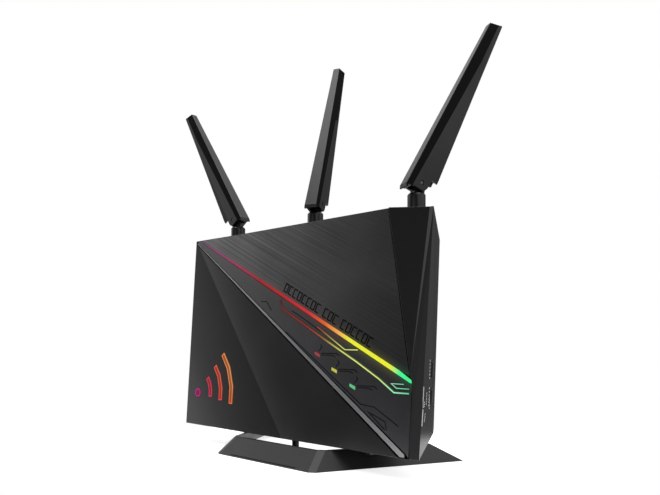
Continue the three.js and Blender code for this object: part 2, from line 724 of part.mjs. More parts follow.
function dcJack() {
  const shell = solid(block(
    [DC_X - DC_HALF, BOARD_BACK + GAP, PORT_Z - DC_HALF],
    [DC_X + DC_HALF, PORT_BACK_Y, PORT_Z + DC_HALF]));
  const cavity = solid(rodY(3.4, DC_X, PORT_Z, PORT_BACK_Y - 10, PORT_BACK_Y + 1, 16));
  const pin = solid(rodY(0.9, DC_X, PORT_Z, PORT_BACK_Y - 11, PORT_BACK_Y - 1.5, 10));
  return shell.subtract(cavity).add(pin);
}
place('dc_jack', dcJack(), materials.mattBlack);

// --------------------------------------------------------------- electronics

place('main_board', block(
  [-BOARD_HALF_W, BOARD_FRONT, BOARD_BOTTOM_Z], [BOARD_HALF_W, BOARD_BACK, BOARD_TOP_Z]), materials.board);

function heatsink() {
  const [left, right, low, high] = [-36, 36, 92, 148];
  const base = BOARD_FRONT - 5;
  let body = solid(block([left, base - 2, low], [right, base, high]));
  for (let x = left; x <= right - 1.6; x += 8.8) {
    body = body.add(solid(block([x, base - 10, low], [x + 1.6, base - 1, high])));
  }
  return body;
}
place('heatsink', heatsink(), materials.aluminium);

function shieldCan(x, z, half) {
  return block([x - half, BOARD_FRONT - 4.4, z - half], [x + half, BOARD_FRONT - GAP, z + half]);
}
place('rf_shield_left', shieldCan(-66, 118, 20), materials.steel);
place('rf_shield_centre', shieldCan(0, 120, 20), materials.steel);
place('rf_shield_right', shieldCan(66, 118, 20), materials.steel);

const lightBoardOutline = strip([[-112, lightLine(-112)], [94, lightLine(94)]], 6);
place('light_board', facePrism(outline(lightBoardOutline), FACE_WALL + 1.6, FACE_WALL + 2.8),
  materials.board, faceGroup);
place('emblem_light_board', facePrism(outline([[-126, 16], [-60, 16], [-60, 68], [-126, 68]]),
  FACE_WALL + 3, FACE_WALL + 4.2), materials.board, faceGroup);

// ------------------------------------------------------------------ antennas

function antennaConnector() {
  return turned([
    [0, 180.5], [1.6, 180.5], [1.6, 183], [5.4, 183], [5.4, 185.6], [3.1, 185.6], [3.1, 198], [0, 198],
  ], 20);
}

function coaxLead(x, sway) {
  const route = new THREE.CatmullRomCurve3([
    new THREE.Vector3(x, ANTENNA_Y, 180.1), new THREE.Vector3(x, ANTENNA_Y - 0.2, 176),
    new THREE.Vector3(x + sway * 0.4, 37.8, 168), new THREE.Vector3(x + sway, 36.4, 158),
    new THREE.Vector3(x + sway, 36.3, 150),
  ]);
  const sides = Array.from({ length: 8 }, (_, index) => {
    const turn = index * Math.PI / 4;
    return [0.9 * Math.cos(turn), 0.9 * Math.sin(turn)];
  });
  return new THREE.ExtrudeGeometry(outline(sides), { steps: 14, extrudePath: route });
}

// The collar that turns on the connector, with the tongue of the hinge. The
// collar's axis is at the origin, at the height of the hinge pin.
function antennaBase() {
  const top = COLLAR_TOP_Z - PIVOT_Z;
  const bottom = COLLAR_BOTTOM_Z - PIVOT_Z;
  const collar = solid(turned([
    [0, bottom + COLLAR_BORE_H], [COLLAR_BORE_R, bottom + COLLAR_BORE_H], [COLLAR_BORE_R, bottom],
    [COLLAR_R - 0.7, bottom], [COLLAR_R - 0.7, bottom + 0.4], [COLLAR_R, bottom + 1.4],
    [COLLAR_R, top - 1.2], [COLLAR_R - 1, top],
    [COLLAR_BOSS_R, top], [COLLAR_BOSS_R, top + COLLAR_BOSS_H], [0, top + COLLAR_BOSS_H],
  ], 28));
  const tongueShape = new THREE.Shape();
  tongueShape.moveTo(-3.4, top - 1);
  tongueShape.lineTo(PIVOT_OFFSET - TONGUE_R, 0);
  tongueShape.absarc(PIVOT_OFFSET, 0, TONGUE_R, Math.PI, 0, true);
  tongueShape.lineTo(4.6, top - 1);
  const tongue = new THREE.ExtrudeGeometry(tongueShape, {
    depth: TONGUE_HALF * 2, bevelEnabled: false, curveSegments: 14,
  });
  tongue.rotateX(Math.PI / 2).translate(0, TONGUE_HALF, 0);
  const bore = rodY(PIN_BORE_R, PIVOT_OFFSET, 0, -10, 10, 16);
  return collar.add(solid(tongue)).subtract(solid(bore));
}

// The body between the paddle's long edges, from one level to another, with its
// walls moved in.
function paddleBody(low, high, inset = 0) {
  const shrink = (value) => Math.sign(value) * Math.max(Math.abs(value) - inset, 0);
  const points = [];
  for (const { foot, tip } of PADDLE_EDGES) {
    for (const z of [low, high]) {
      const part = (z - foot[2]) / (tip[2] - foot[2]);
      const x = shrink(THREE.MathUtils.lerp(foot[0], tip[0], part));
      const y = shrink(THREE.MathUtils.lerp(foot[1], tip[1], part));
      points.push([x, y, z], [x, -y, z]);
    }
  }
  return solid(hull(points));
}

// The paddle's outline seen along the hinge pin: a heel that hangs behind the
// collar, round cheeks over the pin, and a step out to the long edge.
function paddleOutline() {
  const shape = outline([
    [-13, -6.4], [-10.5, -6.5], [-9.6, -8.6], [-8.5, -8.6], [-8.4, -6.6], [-5.9, -6.2],
    [-5.5, -5.4], [3.3, -5.2],
  ]);
  shape.absarc(0, 0, CHEEK_R, -1, 0, false);
  shape.lineTo(6.5, 5.8);
  shape.lineTo(14, 5.9);
  shape.lineTo(14, 145.8);
  shape.lineTo(3.9, 145.8);
  shape.lineTo(-13, 140.7);
  return shape;
}

function antennaBlade() {
  const slab = new THREE.ExtrudeGeometry(paddleOutline(), {
    depth: 20, bevelEnabled: false, curveSegments: 8,
  });
  slab.rotateX(Math.PI / 2).translate(0, 10, 0);
  const slot = block(
    [PADDLE_BACK_WALL_X, -EAR_GAP_HALF, PADDLE_LOW], [14, EAR_GAP_HALF, PADDLE_SLOT_TOP]);
  return solid(slab).intersect(paddleBody(PADDLE_LOW, PADDLE_HIGH))
    .subtract(paddleBody(...PADDLE_HOLLOW, PADDLE_WALL))
    .subtract(solid(slot))
    .subtract(solid(rodY(PIN_BORE_R, 0, 0, -10, 10, 16)));
}

const base = surface(antennaBase());
const blade = surface(antennaBlade());
const connector = antennaConnector();
const pin = rodY(PIN_R, PIVOT_OFFSET, 0, -PIN_HALF, PIN_HALF, 12);
for (const { side, x, swivel, tilt, leadSway } of ANTENNAS) {
  place(`antenna_${side}_connector`, connector.clone().translate(x, ANTENNA_Y, 0), materials.gold);
  place(`antenna_${side}_lead`, coaxLead(x, leadSway), materials.mattBlack);
  const turning = new THREE.Group();
  turning.position.set(x, ANTENNA_Y, PIVOT_Z);
  turning.rotation.z = swivel;
  root.add(turning);
  place(`antenna_${side}_base`, base, materials.mattBlack, turning);
  place(`antenna_${side}_pin`, pin, materials.steel, turning);
  const tilting = new THREE.Group();
  tilting.position.x = PIVOT_OFFSET;
  tilting.rotation.y = tilt;
  turning.add(tilting);
  place(`antenna_${side}_blade`, blade, materials.mattBlack, tilting);
  place(`antenna_${side}_radiator`, block(...RADIATOR), materials.gold, tilting);
}

// --------------------------------------------------------------------- stand

// Plan of the stand's wall: front corners cut, at a given level.
function standPlan(front, back, inset, z) {
  const plan = [];
  const cut = STAND_CORNER_CUT;
  for (const side of [-1, 1]) {
    plan.push([side * (front[0] - inset - cut * 0.8), front[1] + inset, z]);
    plan.push([side * (front[0] - inset * 1.1 + cut * 0.5), front[1] + inset + cut * 0.8, z]);
    plan.push([side * (back[0] - inset * 1.4), back[1] - inset, z]);
  }
  return plan;
}

function standFrame() {
  const outer = solid(hull([
    ...standPlan(STAND_FOOT_CORNER_FRONT, STAND_FOOT_CORNER_BACK, 0, 0),
    ...standPlan(STAND_RIDGE_CORNER_FRONT, STAND_RIDGE_CORNER_BACK, 0, STAND_H),
  ]));
  const rise = 20 / STAND_H;
  const extend = (foot, ridge) => foot.map((value, axis) => value + (ridge[axis] - value) * rise);
  const inner = solid(hull([
    ...standPlan(STAND_FOOT_CORNER_FRONT, STAND_FOOT_CORNER_BACK, STAND_WALL + 1.4, -0.01),
    ...standPlan(extend(STAND_FOOT_CORNER_FRONT, STAND_RIDGE_CORNER_FRONT),
      extend(STAND_FOOT_CORNER_BACK, STAND_RIDGE_CORNER_BACK), STAND_WALL, 20),
  ]));
  let frame = outer.subtract(inner);
  // Sole plate and its post, under the front edge of the housing.
  frame = frame.add(solid(block([-18, -18.4, 0], [18, 24, 3])));
  const underside = (y) => FACE_Z + UNDERSIDE_RISE * y - STAND_CLEARANCE;
  frame = frame.add(solid(rodZ(POST_R, 0, POST_Y, 2, underside(POST_Y - POST_R), 16)));
  // Cradle: two cheeks on the side rails, and the beam between them that the
  // housing's sloping underside rests on.
  for (const side of [-1, 1]) {
    const cheek = [];
    for (const x of [67, 74.5]) {
      for (const y of [22, 47]) {
        const spread = (y - 22) * 0.2;
        cheek.push([side * (x + spread), y, 9], [side * (x + spread - 1), y, underside(y)]);
      }
    }
    frame = frame.add(solid(hull(cheek)));
  }
  const beam = [];
  for (const x of [-72, 72]) {
    beam.push([x, 37, underside(37)], [x, 47, underside(47)], [x, 37, 24], [x, 47, 24]);
  }
  frame = frame.add(solid(hull(beam)));
  for (const x of [-STAND_SCREW_X, STAND_SCREW_X]) {
    frame = frame.subtract(solid(rodZ(STAND_SCREW_BORE_R + 0.1, x, STAND_SCREW_Y, 10, 50, 12)));
  }
  for (const { low, high } of STAND_PADS) {
    const recess = block(
      [low[0] - GAP, low[1] - GAP, -1], [high[0] + GAP, high[1] + GAP, PAD_T + GAP]);
    frame = frame.subtract(solid(recess));
  }
  return frame;
}

place('stand_frame', standFrame(), materials.mattBlack);
for (const { name, low, high } of STAND_PADS) {
  place(name, block(low, high), materials.rubber);
}

function standScrew() {
  const top = FACE_Z + UNDERSIDE_RISE * STAND_SCREW_Y + 5;
  return turned([[0, 20.6], [3.2, 20.6], [3.6, 21.2], [3.6, 23.7], [1.6, 23.7], [1.6, top], [0, top]], 16);
}
for (const side of [-1, 1]) {
  place(`stand_screw_${side < 0 ? 'left' : 'right'}`,
    standScrew().translate(side * STAND_SCREW_X, STAND_SCREW_Y, 0), materials.steel);
}

function caseScrew(x, z) {
  const profile = [
    [0, 18], [1.45, 18], [1.45, 47.5], [3, 47.5], [3, 49.2], [1.2, 49.2], [0.9, 48.2], [0, 48.2],
  ];
  return turned(profile, 16).rotateX(-Math.PI / 2).translate(x, 0, z);
}
let screwNumber = 1;
for (const x of [-CASE_SCREW_X, CASE_SCREW_X]) {
  for (const z of CASE_SCREW_Z) {
    place(`case_screw_${screwNumber}`, caseScrew(x, z), materials.steel);
    screwNumber += 1;
  }
}

export default root;
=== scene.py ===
"""Looks of the desktop wireless router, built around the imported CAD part."""
import json
import math

import bmesh
import bpy
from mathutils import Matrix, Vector
from mathutils.bvhtree import BVHTree


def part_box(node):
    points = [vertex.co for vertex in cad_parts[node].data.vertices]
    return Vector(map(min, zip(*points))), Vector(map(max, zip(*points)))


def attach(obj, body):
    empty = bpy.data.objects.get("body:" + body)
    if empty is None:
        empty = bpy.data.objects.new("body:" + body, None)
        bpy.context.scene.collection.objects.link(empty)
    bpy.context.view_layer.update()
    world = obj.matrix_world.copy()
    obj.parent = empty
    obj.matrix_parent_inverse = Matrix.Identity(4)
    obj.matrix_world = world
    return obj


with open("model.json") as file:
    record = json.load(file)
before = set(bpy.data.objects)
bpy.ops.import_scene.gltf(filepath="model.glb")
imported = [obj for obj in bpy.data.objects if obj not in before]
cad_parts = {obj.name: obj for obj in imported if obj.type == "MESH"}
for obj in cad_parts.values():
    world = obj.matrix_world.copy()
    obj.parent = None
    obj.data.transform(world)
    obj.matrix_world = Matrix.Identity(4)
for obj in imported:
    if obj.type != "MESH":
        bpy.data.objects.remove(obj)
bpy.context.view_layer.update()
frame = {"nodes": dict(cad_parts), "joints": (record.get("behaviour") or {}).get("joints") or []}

MM = 0.001
NODES = frame["nodes"]
ROOT = "housing"


# ------------------------------------------------------------------ camera

# It stands level to the front right, with its frame raised to take in the antennas.
CAMERA_LENS = 33.8
CAMERA_RAISE = 0.1352
CAMERA_PLACE = (0.36937, -0.3399, 0.09825)
CAMERA_TURN = math.radians(42.88)


def link(obj):
    bpy.context.scene.collection.objects.link(obj)
    return obj


def make_camera():
    data = bpy.data.cameras.new("camera")
    data.sensor_width = 36
    data.lens = CAMERA_LENS
    data.shift_y = CAMERA_RAISE
    data.clip_start = 0.01
    camera = link(bpy.data.objects.new("camera", data))
    camera.location = CAMERA_PLACE
    camera.rotation_euler = (math.radians(90), 0, CAMERA_TURN)
    bpy.context.scene.camera = camera


make_camera()


# --------------------------------------------------------------- materials

HAZE_SCALE = 22  # slow changes of tone and gloss, per metre
METAL_GRAIN = 0.5  # in mm
UNLIT = 0.08  # share of a light's colour that shows when another light falls on it

X_AXIS = (1, 0, 0)
FACE_SPAN = tuple(corner.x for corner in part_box("front_cover"))


class Look:
    """A procedural material: one Principled shader and the nodes that feed it."""

    def __init__(self, name, **constants):
        self.material = bpy.data.materials.new(name)
        self.material.use_nodes = True
        self.tree = self.material.node_tree
        self.shader = self.tree.nodes["Principled BSDF"]
        for key, value in constants.items():
            self.shader.inputs[key.replace("_", " ")].default_value = value
        self.place = self.tree.nodes.new("ShaderNodeTexCoord").outputs["Object"]

    def node(self, kind, *inputs, **settings):
        """A shader node. Inputs are set in order: sockets are linked, None is skipped."""
        node = self.tree.nodes.new("ShaderNode" + kind)
        for key, value in settings.items():
            setattr(node, key, value)
        for socket, value in zip(node.inputs, inputs):
            if isinstance(value, bpy.types.NodeSocket):
                self.tree.links.new(value, socket)
            elif value is not None:
                socket.default_value = value
        return node

    def noise(self, scale, detail=2.0, rough=0.5, where=None):
        node = self.node("TexNoise", where or self.place)
        node.inputs["Scale"].default_value = scale
        node.inputs["Detail"].default_value = detail
        node.inputs["Roughness"].default_value = rough
        return node.outputs[0]

    def grain(self, size):
        """The slow haze and the fine grain, of a size in mm, of a moulded surface."""
        return self.noise(HAZE_SCALE, 3), self.noise(1 / (size * MM), 2, 0.6)

    def along(self, direction):
        """Distance along a direction, as a socket."""
        node = self.node("VectorMath", self.place, Vector(direction), operation="DOT_PRODUCT")
        return node.outputs["Value"]

    def remap(self, value, low, high, to_low=0.0, to_high=1.0):
        return self.node("MapRange", value, low, high, to_low, to_high).outputs[0]

    def ramp(self, value, stops):
        """A colour ramp from (position, colour) pairs."""
        node = self.node("ValToRGB", value)
        elements = node.color_ramp.elements
        while len(elements) < len(stops):
            elements.new(0.5)
        for element, (position, colour) in zip(elements, stops):
            element.position = position
            element.color = (*colour, 1)
        return node.outputs[0]

    def add(self, first, second):
        return self.node("Math", first, second, operation="ADD").outputs[0]

    def times(self, first, second):
        return self.node("Math", first, second, operation="MULTIPLY").outputs[0]

    def mix(self, first, second, share):
        return self.add(self.times(first, share), self.times(second, 1 - share))

    def scaled(self, colour, level):
        """A colour times a level, both sockets."""
        node = self.node("VectorMath", colour, operation="SCALE")
        self.tree.links.new(level, node.inputs["Scale"])
        return node.outputs[0]

    def bump(self, height, depth, strength=1.0):
        node = self.node("Bump")
        node.inputs["Strength"].default_value = strength
        node.inputs["Distance"].default_value = depth
        self.tree.links.new(height, node.inputs["Height"])
        self.feed("Normal", node.outputs[0])

    def feed(self, name, value):
        self.tree.links.new(value, self.shader.inputs[name])


def tinted(colour, factor):
    return tuple(min(1.0, channel * factor) for channel in colour)


def mottled(look, tone, colour):
    """Feeds the base colour, a little darker and lighter with the tone."""
    look.feed("Base Color", look.ramp(tone, [(0.25, tinted(colour, 0.7)), (0.75, tinted(colour, 1.35))]))


def moulded(name, colour, rough, grain=0.35, depth=0.012, level=0.5):
    """Moulded plastic: a fine spark-eroded grain, and slow changes of tone and gloss."""
    look = Look(name, Specular_IOR_Level=level)
    slow, fine = look.grain(grain)
    mottled(look, look.mix(slow, fine, 0.6), colour)
    look.feed("Roughness", look.remap(slow, 0.3, 0.7, rough - 0.06, rough + 0.06))
    look.bump(fine, depth * MM)
    return look.material


# The front's long crease: where it lies, and the specular level at distances from it, in mm: a painted
# reflection that shades each facet off away from the crease.
CREASE_ACROSS = (-0.79, 0, -0.614)
CREASE_OFFSET = -10
CREASE_PAINTED_SHEEN = (
    (-60, 0.36), (-42, 0.29), (-28, 0.28), (-12, 0.37), (-0.2, 0.5),
    (0.2, 0.16), (20, 0.21), (45, 0.28), (60, 0.34), (80, 0.52), (96, 0.68),
)


def facets(name, colour, rough):
    """Satin moulding whose two lower facets meet at the long crease: a painted reflection in the specular
    level shades each off away from it.
    """
    look = Look(name)
    slow, fine = look.grain(0.3)
    tone = look.remap(look.mix(slow, fine, 0.6), 0.25, 0.75, 0.9, 1.1)
    nearest, farthest = -60, 100
    from_crease = look.remap(look.along(CREASE_ACROSS), (CREASE_OFFSET + nearest) * MM,
                             (CREASE_OFFSET + farthest) * MM)
    # Painted reflection: the specular level rises and falls with the distance from the crease.
    painted_sheen = look.ramp(from_crease, [
        ((at - nearest) / (farthest - nearest), (level,) * 3) for at, level in CREASE_PAINTED_SHEEN])
    look.feed("Specular IOR Level", look.times(painted_sheen, tone))
    look.feed("Base Color", look.ramp(tone, [(0.0, tinted(colour, 0.5)), (1.0, colour)]))
    look.feed("Roughness", look.remap(slow, 0.3, 0.7, rough - 0.03, rough + 0.03))
    look.bump(fine, 0.003 * MM)
    return look.material


def brushed(name, colour, rough, pitch, contrast, painted_reflection_fade=(1.0, 1.0)):
    """Metal with fine lines along the light line, a pitch in mm apart; its colour is scaled from left to
    right as a painted reflection.
    """
    look = Look(name, Metallic=1.0)
    run = look.times(look.along(LINE_WAY), 4)
    step = look.times(look.along(LINE_ACROSS), 1 / (pitch * MM))
    where = look.node("CombineXYZ", run, step, 0.0).outputs[0]
    lines = look.noise(1.0, 2, 0.6, where)
    slow = look.noise(18, 2)
    lined = look.ramp(look.mix(lines, slow, 0.8), [
        (0.35, tinted(colour, 1 - contrast)), (0.65, tinted(colour, 1 + contrast))])
    # Painted reflection: the colour is brightened towards one end of the face and darkened towards the
    # other.
    look.feed("Base Color", look.scaled(lined, look.remap(look.along(X_AXIS), *FACE_SPAN, *painted_reflection_fade)))
    look.feed("Roughness", look.remap(lines, 0.3, 0.7, rough + 0.08, rough - 0.08))
    look.bump(lines, 0.02 * MM, 0.6)
    return look


def slate(name, colour, rough):
    """Smooth slate moulding whose specular level is raised at the left end of the face, a painted
    reflection.
    """
    look = Look(name)
    slow, fine = look.grain(0.3)
    mottled(look, look.mix(slow, fine, 0.6), colour)
    # Painted reflection: more specular at the left end of the face.
    look.feed("Specular IOR Level", look.remap(look.along(X_AXIS), *FACE_SPAN, 1.0, 0.72))
    look.feed("Roughness", look.remap(slow, 0.3, 0.7, rough - 0.03, rough + 0.03))
    look.bump(fine, 0.005 * MM)
    return look


def painted_glow(look, strength):
    """A painted glow: the light line's colours emitted faintly by the face beside it."""
    off = look.add(look.along(LINE_ACROSS), -LINE_HEIGHT * MM)
    away = look.node("Math", off, operation="ABSOLUTE").outputs[0]
    near = look.remap(away, 1.5 * MM, 9 * MM, 1.0, 0.0)
    place = look.remap(look.along(X_AXIS), LIGHT_FROM * MM, LIGHT_TO * MM)
    look.feed("Emission Color", look.scaled(look.ramp(place, BAR_STOPS), look.times(near, near)))
    look.shader.inputs["Emission Strength"].default_value = strength
    return look.material


def metal(name, colour, rough):
    """Plated or turned metal, faintly clouded and scratched."""
    look = Look(name, Metallic=1.0)
    slow = look.noise(120, 3)
    fine = look.noise(1 / (METAL_GRAIN * MM), 4, 0.7)
    look.feed("Base Color", look.ramp(slow, [(0.3, tinted(colour, 0.8)), (0.7, tinted(colour, 1.1))]))
    look.feed("Roughness", look.remap(fine, 0.3, 0.7, rough - 0.08, rough + 0.1))
    look.bump(fine, 0.006 * MM)
    return look.material


def glow(name, stops, direction, start, end):
    """A lit diffusing light guide whose colour runs along a direction, from start to end in mm."""
    look = Look(name, Roughness=0.4, Specular_IOR_Level=0.1, Emission_Strength=1.0)
    place = look.remap(look.along(direction), start * MM, end * MM)
    colours = look.ramp(place, stops)
    cloud = look.noise(260, 2)
    level = look.remap(cloud, 0.2, 0.8, 0.88, 1.0)
    look.feed("Emission Color", look.scaled(colours, level))
    look.feed("Base Color", look.ramp(place, [(at, tinted(colour, UNLIT)) for at, colour in stops]))
    return look.material


PLUM = (0.13, 0.06, 0.115)
MAGENTA = (0.24, 0.058, 0.14)
ROSE = (0.33, 0.04, 0.09)
RED = (0.35, 0.022, 0.025)
CRIMSON = (0.46, 0.02, 0.024)
SCARLET = (0.56, 0.03, 0.035)
ORANGE = (0.7, 0.12, 0.028)
AMBER = (0.88, 0.4, 0.09)
YELLOW = (0.82, 0.84, 0.04)
GREEN = (0.065, 0.9, 0.3)

# The light line's ends by x, in mm.
LIGHT_FROM = -126
LIGHT_TO = 124


def light_stops(*pairs):
    """Ramp stops from (x in mm, colour) pairs."""
    return [((x - LIGHT_FROM) / (LIGHT_TO - LIGHT_FROM), colour) for x, colour in pairs]


BAR_STOPS = light_stops(
    (-124, PLUM), (-100, MAGENTA), (-66, ROSE), (-38, RED), (-2, CRIMSON), (24, SCARLET),
    (42, ORANGE), (56, AMBER), (69, YELLOW), (106, YELLOW), (115, GREEN))
BRANCH_STOPS = light_stops(
    (-8, (0.2, 0.03, 0.02)), (22, (0.3, 0.03, 0.035)), (41, (0.32, 0.13, 0.05)), (58, (0.64, 0.7, 0.2)),
    (78, (0.8, 0.9, 0.3)), (98, (0.67, 0.81, 0.31)), (110, (0.38, 0.9, 0.55)), (121, (0.22, 0.6, 0.38)))
EDGE_STOPS = light_stops(
    (-10, (0.09, 0.012, 0.012)), (30, (0.12, 0.012, 0.012)), (46, (0.12, 0.07, 0.01)),
    (64, (0.12, 0.13, 0.006)), (98, (0.07, 0.12, 0.01)), (112, (0.006, 0.12, 0.05)))

# The light line across the leaning face: it falls by LINE_FALL per mm to the right.
LEAN = math.radians(4.43)
LINE_FALL = 0.4833
LINE_MIDDLE_V = 112.7
LINE_HEIGHT = 115.7
LIGHT_SLOPE = math.atan(LINE_FALL)
LINE_WAY = (math.cos(LIGHT_SLOPE), 0, -math.sin(LIGHT_SLOPE))
LINE_ACROSS = (math.sin(LIGHT_SLOPE), 0, math.cos(LIGHT_SLOPE))

BLACK = (0.008, 0.008, 0.0085)
mats = {
    "front": facets("satin_black", BLACK, 0.2),
    "rear": moulded("grained_black", (0.012, 0.012, 0.0125), 0.5, 0.45, 0.03, level=0.45),
    # The band and the panel carry a painted glow beside the light line; the panel's colour also carries a
    # painted reflection, brighter to the left.
    "band": painted_glow(slate("slate", (0.013, 0.0125, 0.015), 0.26), 0.05),
    "panel": painted_glow(brushed("brushed_black", (0.115, 0.115, 0.116), 0.22, 0.42, 0.5, painted_reflection_fade=(1.4, 0.85)), 0.05),
    "trim": brushed("satin_aluminium", (0.34, 0.34, 0.35), 0.32, 0.3, 0.15).material,
    "bar": glow("light_line", BAR_STOPS, X_AXIS, LIGHT_FROM, LIGHT_TO),
    "core": glow("light_core", BRANCH_STOPS, X_AXIS, LIGHT_FROM, LIGHT_TO),
    "edge": glow("light_edge", EDGE_STOPS, X_AXIS, LIGHT_FROM, LIGHT_TO),
    "collar": moulded("collar_black", (0.005, 0.005, 0.0052), 0.2, 0.5, 0.004, level=0.4),
    "stand": moulded("stand_black", BLACK, 0.38, depth=0.01, level=0.45),
    "button": moulded("button_black", (0.012, 0.012, 0.013), 0.3, depth=0.004),
    "reset": moulded("dull_red", (0.2, 0.012, 0.01), 0.5),
    "jack": moulded("socket_black", (0.01, 0.01, 0.01), 0.45),
    "pad": moulded("rubber", (0.012, 0.012, 0.012), 0.85, 0.8, 0.05, level=0.2),
    "lead": moulded("lead_jacket", (0.01, 0.01, 0.01), 0.5),
    "steel": metal("plated_steel", (0.55, 0.55, 0.57), 0.32),
    "aluminium": metal("anodised_aluminium", (0.6, 0.61, 0.62), 0.4),
    "brass": metal("plated_brass", (0.72, 0.54, 0.2), 0.3),
    "gold": metal("gold_contact", (0.9, 0.66, 0.22), 0.22),
    "ink": moulded("dark_ink", (0.002, 0.002, 0.0025), 0.5, level=0.03),
    "dark_steel": metal("dark_steel", (0.09, 0.09, 0.092), 0.4),
    "print": moulded("grey_print", (0.5, 0.5, 0.51), 0.6, level=0.3),
    "etch": moulded("etched_line", (0.003, 0.003, 0.0035), 0.5, level=0.06),
    "blue": moulded("blue_plastic", (0.02, 0.09, 0.42), 0.45),
    "ivory": moulded("pale_plastic", (0.62, 0.6, 0.54), 0.5),
}


def circuit_board():
    """Green solder mask with faint copper runs under it."""
    look = Look("solder_mask", Roughness=0.4, Coat_Weight=0.3)
    runs = look.node("TexBrick", look.place)
    runs.inputs["Scale"].default_value = 60
    runs.inputs["Mortar Size"].default_value = 0.03
    tone = look.mix(runs.outputs["Fac"], look.noise(90, 3), 0.6)
    look.feed("Base Color", look.ramp(tone, [(0.15, (0.004, 0.045, 0.022)), (0.8, (0.02, 0.15, 0.06))]))
    look.bump(tone, 0.03 * MM)
    return look.material


mats["board"] = circuit_board()


def flat_glow(name, colour):
    """A small lit lens of one colour, slightly clouded."""
    stops = [(0.0, tinted(colour, 0.8)), (0.5, colour), (1.0, tinted(colour, 1.15))]
    return glow(name, stops, (0.7, 0, 0.7), -60, 200)


LED_COLOURS = {
    "led_lens_1": (0.34, 0.045, 0.06),
    "led_lens_2": (0.5, 0.5, 0.08),
    "led_lens_3": (0.12, 0.5, 0.22),
}
# The emblem's colours run up to the right, between two distances in mm.
EMBLEM_RUN = ((0.9, 0, 0.44), -98, -26)
EMBLEM_STOPS = [
    (0.0, (0.46, 0.02, 0.3)), (0.3, (0.6, 0.03, 0.12)), (0.55, (0.75, 0.06, 0.06)),
    (0.8, (0.85, 0.2, 0.06)), (1.0, (0.9, 0.5, 0.16))]
EMBLEM_DIM_STOPS = [(at, tinted(colour, 0.32)) for at, colour in EMBLEM_STOPS]
mats["emblem_fill"] = glow("emblem_fill", EMBLEM_DIM_STOPS, *EMBLEM_RUN)
mats["emblem_line"] = glow("emblem_line", EMBLEM_STOPS, *EMBLEM_RUN)

NODE_LOOKS = {
    "front_cover": "front", "rear_cover": "rear", "brushed_panel": "panel", "circuit_band": "band",
    "trim_strip": "trim", "light_bar_main": "bar", "light_branch_lower": "edge",
    "light_branch_upper": "edge", "light_tail": "edge", "wps_button": "button", "light_button": "button",
    "power_button": "button", "reset_button": "reset", "lan_jack_block": "jack", "wan_jack": "jack",
    "dc_jack": "jack", "usb_divider": "rear", "usb3_port": "steel", "usb2_port": "steel",
    "main_board": "board", "light_board": "board", "emblem_light_board": "board",
    "heatsink": "aluminium", "stand_frame": "stand", "stand_pad_front": "pad", "stand_pad_back": "pad",
}
ENDINGS = {
    "_connector": "brass", "_lead": "lead", "_base": "collar", "_pin": "dark_steel", "_radiator": "brass",
}
STARTS = {"rf_shield": "steel", "stand_screw": "steel", "case_screw": "steel", "emblem_": "emblem_fill"}


def paddle_look(name):
    """Black paddle: glossy narrow edge, satin cheeks and a dull, finely grained strip between them."""
    side = name.split("_")[1]
    joint = next(j for j in frame["joints"] if j["name"] == f"antenna_{side}_tilt")
    pin = Vector(joint["axis"])
    low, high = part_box(name)
    reach = (low + high) / 2 - Vector(joint["pos_m"])
    across = pin.cross(reach - pin * reach.dot(pin)).normalized()
    look = Look(name + "_black")
    normal = look.node("TexCoord").outputs["Normal"]
    facing = look.node("VectorMath", normal, across, operation="DOT_PRODUCT").outputs["Value"]
    place = look.remap(facing, -1, 1)
    slow, fine = look.grain(0.5)
    tone = look.remap(look.mix(slow, fine, 0.5), 0.3, 0.7, 0.75, 1.3)

    def by_face(edge, strip, cheek):
        bands = look.ramp(place, [(0.0, (edge,) * 3), (0.26, (strip,) * 3), (0.455, (cheek,) * 3)])
        bands.node.color_ramp.interpolation = "CONSTANT"
        return look.times(bands, tone)

    look.feed("Base Color", by_face(0.009, 0.003, 0.007))
    look.feed("Specular IOR Level", by_face(0.5, 0.05, 0.32))
    look.feed("Roughness", by_face(0.34, 0.6, 0.36))
    look.bump(fine, 0.02 * MM)
    return look.material


def look_of(name):
    if name.endswith("_blade"):
        return paddle_look(name)
    if name in LED_COLOURS:
        return flat_glow(name + "_light", LED_COLOURS[name])
    if name in NODE_LOOKS:
        return mats[NODE_LOOKS[name]]
    for ending, look in ENDINGS.items():
        if name.endswith(ending):
            return mats[look]
    for start, look in STARTS.items():
        if name.startswith(start):
            return mats[look]
    raise KeyError(name)


for node_name, node_object in NODES.items():
    node_object.data.materials.clear()
    node_object.data.materials.append(look_of(node_name))


# ------------------------------------------------------- edges and shading

